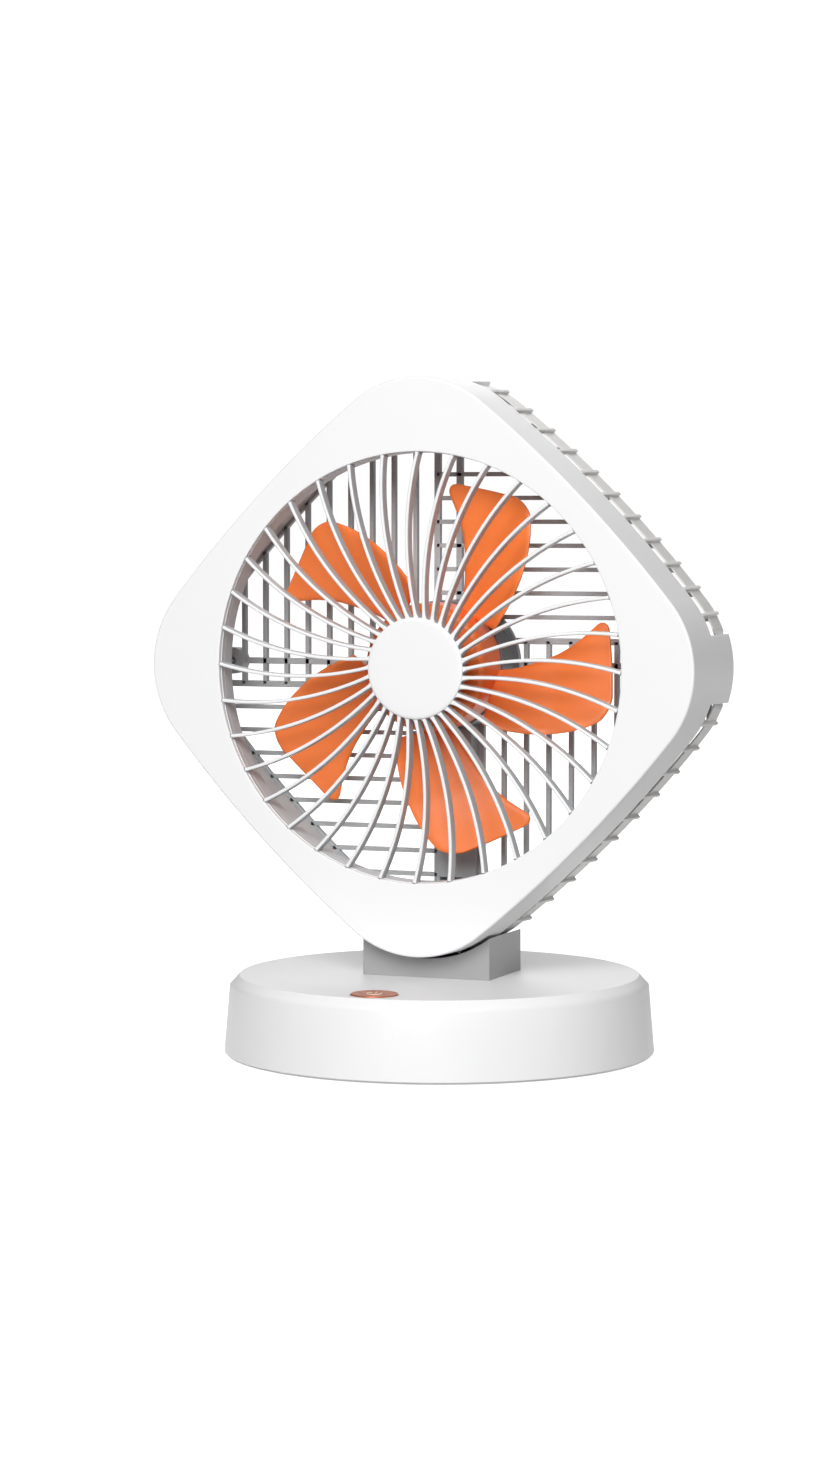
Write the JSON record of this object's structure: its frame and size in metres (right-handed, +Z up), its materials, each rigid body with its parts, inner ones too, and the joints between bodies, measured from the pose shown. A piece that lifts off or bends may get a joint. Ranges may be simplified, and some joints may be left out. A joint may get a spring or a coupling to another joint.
{
  "type": "desk fan",
  "caption": "Small white desk fan with a diamond-shaped box head, swirled front grille, orange scimitar-bladed rotor, short square stem and round base with a push button.",
  "frame": {"origin": "centre of the base where its feet meet the table", "axes": "+Z up, the fan blows towards -Y, +X to the right of someone facing the fan"},
  "size_m": [0.2092, 0.156, 0.2449],
  "materials": {
    "white_plastic": "fine satin moulding",
    "light_grey_plastic": "satin light grey moulding",
    "grey_plastic": "matt dark grey moulding",
    "orange_plastic": "satin orange moulding",
    "copper_button": "metallised copper-orange",
    "screw_steel": "zinc plated",
    "yoke_steel": "drawn steel",
    "magnet_ferrite": "moulded ferrite",
    "shaft_steel": "ground steel",
    "bush_bronze": "sintered bronze",
    "core_steel": "stacked laminations",
    "copper_wire": "enamelled copper",
    "circuit_board": "green solder mask",
    "ballast_steel": "raw steel plate",
    "rubber": "matt soft rubber",
    "black_plastic": "matt black moulding",
    "battery_wrap": "shrink wrap",
    "port_metal": "drawn steel shell",
    "lead_jacket": "soft black jacket",
    "plug_plastic": "natural nylon"
  },
  "bodies": {
    "housing": {"front_shell": "white_plastic", "front_grille": "white_plastic", "air_collar": "white_plastic", "grille_cap": "white_plastic", "vent_ring": "white_plastic", "rear_grille": "grey_plastic", "motor_lead_duct": "grey_plastic", "rear_grille_screws": "screw_steel", "motor_base": "grey_plastic", "motor_cover": "grey_plastic", "front_bush": "bush_bronze", "rear_bush": "bush_bronze", "stator_core": "core_steel", "stator_windings": "copper_wire", "motor_board": "circuit_board", "motor_screws": "screw_steel", "stem": "light_grey_plastic", "stem_head_screws": "screw_steel", "stem_foot_screws": "screw_steel", "base_shell": "white_plastic", "base_cover": "white_plastic", "rubber_feet": "rubber", "base_screws": "screw_steel", "ballast_plate": "ballast_steel", "battery_holder": "black_plastic", "battery_cells": "battery_wrap", "control_board": "circuit_board", "charging_board": "circuit_board", "charging_port": "port_metal", "motor_lead": "lead_jacket", "lead_plugs": "plug_plastic", "switch_body": "black_plastic"},
    "rotor": {"impeller": "orange_plastic", "rotor_yoke": "yoke_steel", "rotor_magnet": "magnet_ferrite", "motor_shaft": "shaft_steel", "shaft_clip": "shaft_steel"},
    "button": {"power_button": "copper_button", "switch_plunger": "black_plastic"}
  },
  "joints": [
    {"name": "rotor_spin", "type": "hinge", "parent": "housing", "child": "rotor", "pos_m": [0, 0, 0.1403], "axis": [0, -1, 0], "continuous": true},
    {"name": "button_press", "type": "slide", "parent": "housing", "child": "button", "axis": [0, 0, -1], "range_m": [0, 0.0008], "stiffness_N_per_m": 400}
  ]
}
